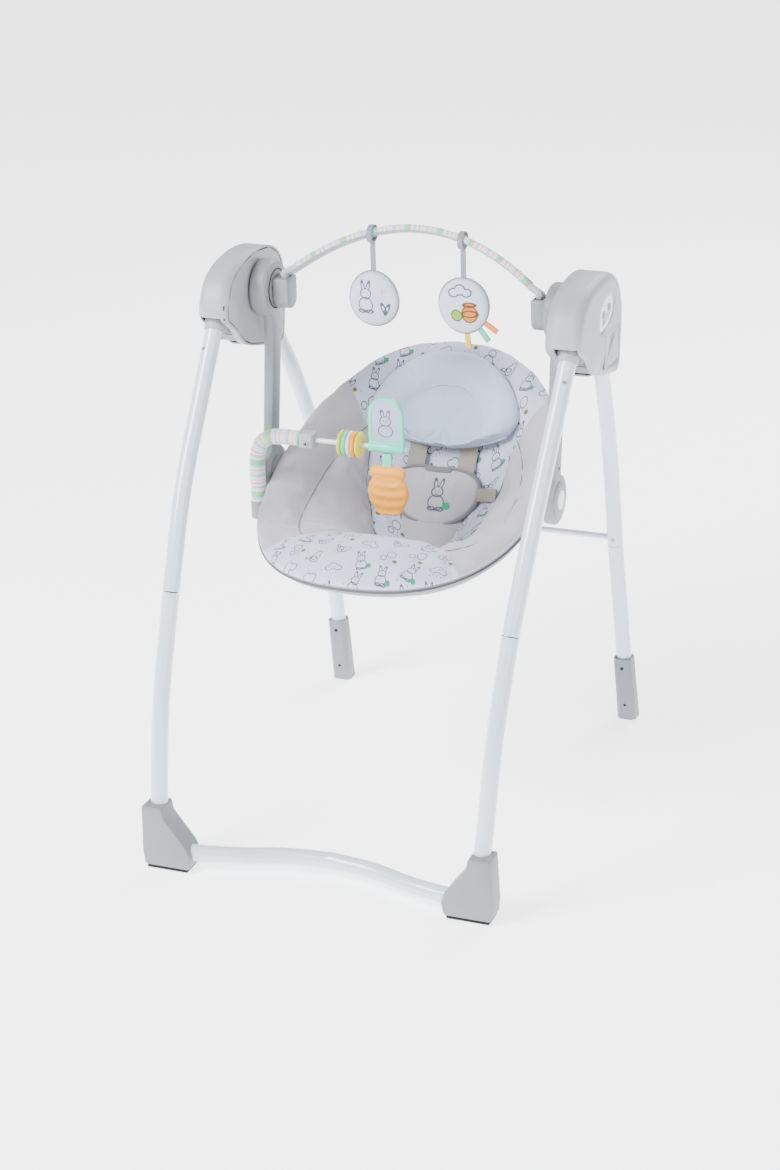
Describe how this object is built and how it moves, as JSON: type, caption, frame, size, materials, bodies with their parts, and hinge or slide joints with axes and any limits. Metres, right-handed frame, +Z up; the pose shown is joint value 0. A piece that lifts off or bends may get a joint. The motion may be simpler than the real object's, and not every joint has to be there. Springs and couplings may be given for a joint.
{
  "type": "baby swing",
  "caption": "Portable baby swing: folding tube frame with round hubs, reclining padded seat on hanging arms, toy bar with soft toys and a side toy arm.",
  "frame": {"origin": "on the floor, centre of the bounding box seen from above", "axes": "+Z up, -Y the front of the swing, +X its left side as a seated child sees it"},
  "size_m": [0.632, 0.775, 0.9257],
  "materials": {
    "white_enamel": "gloss enamel",
    "grey_housing": "fine texture",
    "grey_arm": "fine texture",
    "grey_foot": "fine texture",
    "dark_rubber": "matte",
    "steel": "plain",
    "white_plastic": "satin",
    "board_green": "solder mask",
    "battery_black": "printed sleeve",
    "print_fabric": "knit with small outline motifs",
    "pillow_fabric": "plush knit",
    "pad_fabric": "velour",
    "webbing": "woven webbing",
    "stripe_fabric": "striped knit",
    "mint": "gloss",
    "yellow": "gloss",
    "orange": "gloss",
    "orange_soft": "soft moulded"
  },
  "bodies": {
    "frame": {"rear_leg_tube_left": "white_enamel", "rear_leg_tube_right": "white_enamel", "rear_lower_tube_left": "white_enamel", "rear_lower_tube_right": "white_enamel", "rear_foot_left": "grey_foot", "rear_foot_right": "grey_foot", "rear_crossbar": "white_enamel", "housing_shell_left": "grey_housing", "housing_shell_right": "grey_housing", "housing_cover_left": "grey_housing", "housing_cover_right": "grey_housing", "pivot_axle_left": "steel", "pivot_axle_right": "steel", "control_panel": "white_plastic", "battery_pack": "battery_black", "drive_motor": "steel", "circuit_board": "board_green"},
    "front_frame": {"front_base_tube": "white_enamel", "front_leg_tube_left": "white_enamel", "front_leg_tube_right": "white_enamel", "front_leg_socket_left": "grey_arm", "front_leg_socket_right": "grey_arm", "front_foot_left": "grey_foot", "front_foot_right": "grey_foot", "front_sole_left": "dark_rubber", "front_sole_right": "dark_rubber"},
    "battery_door": {"battery_door": "grey_housing"},
    "speed_button": {"speed_button": "grey_arm"},
    "music_button": {"music_button": "grey_arm"},
    "swing": {"hanger_arm_left": "grey_arm", "hanger_arm_right": "grey_arm", "recline_cap": "white_plastic"},
    "toy_bar": {"toy_bar_socket_left": "grey_arm", "toy_bar_socket_right": "grey_arm", "toy_bar": "grey_housing", "toy_bar_cover": "stripe_fabric"},
    "plush_left": {"hanging_plush_left": "pillow_fabric"},
    "plush_right": {"hanging_plush_right": "pillow_fabric"},
    "seat": {"seat_ring": "steel", "seat_pad": "print_fabric", "head_pillow": "pillow_fabric", "harness_pad": "pad_fabric", "crotch_strap": "pad_fabric", "toy_arm_socket": "grey_arm", "seat_bracket_left": "grey_arm", "seat_bracket_right": "grey_arm", "shoulder_strap_left": "webbing", "shoulder_strap_right": "webbing", "waist_strap_left": "webbing", "waist_strap_right": "webbing"},
    "toy_arm": {"toy_arm_tube": "stripe_fabric", "toy_arm_elbow": "grey_housing", "toy_rod": "white_plastic"},
    "picture": {"picture_frame": "mint"},
    "teether": {"teether": "orange_soft"},
    "ring_1": {"spin_ring_1": "yellow"},
    "ring_2": {"spin_ring_2": "mint"},
    "ring_3": {"spin_ring_3": "white_plastic"},
    "ring_4": {"spin_ring_4": "orange"},
    "ring_5": {"spin_ring_5": "yellow"}
  },
  "joints": [
    {"name": "front_frame_fold", "type": "hinge", "parent": "frame", "child": "front_frame", "pos_m": [0, 0.085, 0.812], "axis": [1, 0, 0], "range_deg": [0, 40]},
    {"name": "swing_pivot", "type": "hinge", "parent": "frame", "child": "swing", "pos_m": [0, 0.085, 0.812], "axis": [1, 0, 0], "range_deg": [-12, 12]},
    {"name": "seat_recline", "type": "hinge", "parent": "swing", "child": "seat", "pos_m": [0, 0.058, 0.515], "axis": [-1, 0, 0], "range_deg": [0, 10]},
    {"name": "toy_bar_pivot", "type": "hinge", "parent": "swing", "child": "toy_bar", "pos_m": [0, 0.085, 0.812], "axis": [1, 0, 0], "range_deg": [-60, 15]},
    {"name": "plush_left_sway", "type": "hinge", "parent": "toy_bar", "child": "plush_left", "pos_m": [-0.076, 0.11733, 0.90478], "axis": [1, 0, 0], "range_deg": [-25, 25]},
    {"name": "plush_right_sway", "type": "hinge", "parent": "toy_bar", "child": "plush_right", "pos_m": [0.076, 0.11733, 0.90478], "axis": [1, 0, 0], "range_deg": [-25, 25]},
    {"name": "toy_arm_swivel", "type": "hinge", "parent": "seat", "child": "toy_arm", "pos_m": [-0.243, 0.004, 0.45], "axis": [0, 0, -1], "range_deg": [0, 22]},
    {"name": "picture_tilt", "type": "hinge", "parent": "toy_arm", "child": "picture", "pos_m": [-0.016, 0.004, 0.592], "axis": [1, 0, 0], "range_deg": [-25, 25]},
    {"name": "teether_sway", "type": "hinge", "parent": "picture", "child": "teether", "pos_m": [-0.016, 0.004, 0.592], "axis": [1, 0, 0], "range_deg": [-20, 20]},
    {"name": "speed_press", "type": "slide", "parent": "frame", "child": "speed_button", "axis": [-1, 0, 0], "range_m": [0, 0.0012], "stiffness_N_per_m": 400},
    {"name": "music_press", "type": "slide", "parent": "frame", "child": "music_button", "axis": [-1, 0, 0], "range_m": [0, 0.0012], "stiffness_N_per_m": 400},
    {"name": "battery_door_hinge", "type": "hinge", "parent": "frame", "child": "battery_door", "pos_m": [0.3158, 0.123, 0.724], "axis": [0, 1, 0], "range_deg": [0, 95]},
    {"name": "ring_1_spin", "type": "hinge", "parent": "toy_arm", "child": "ring_1", "pos_m": [-0.092, 0.004, 0.592], "axis": [1, 0, 0], "continuous": true},
    {"name": "ring_2_spin", "type": "hinge", "parent": "toy_arm", "child": "ring_2", "pos_m": [-0.0844, 0.004, 0.592], "axis": [1, 0, 0], "continuous": true},
    {"name": "ring_3_spin", "type": "hinge", "parent": "toy_arm", "child": "ring_3", "pos_m": [-0.0768, 0.004, 0.592], "axis": [1, 0, 0], "continuous": true},
    {"name": "ring_4_spin", "type": "hinge", "parent": "toy_arm", "child": "ring_4", "pos_m": [-0.0692, 0.004, 0.592], "axis": [1, 0, 0], "continuous": true},
    {"name": "ring_5_spin", "type": "hinge", "parent": "toy_arm", "child": "ring_5", "pos_m": [-0.0616, 0.004, 0.592], "axis": [1, 0, 0], "continuous": true}
  ]
}
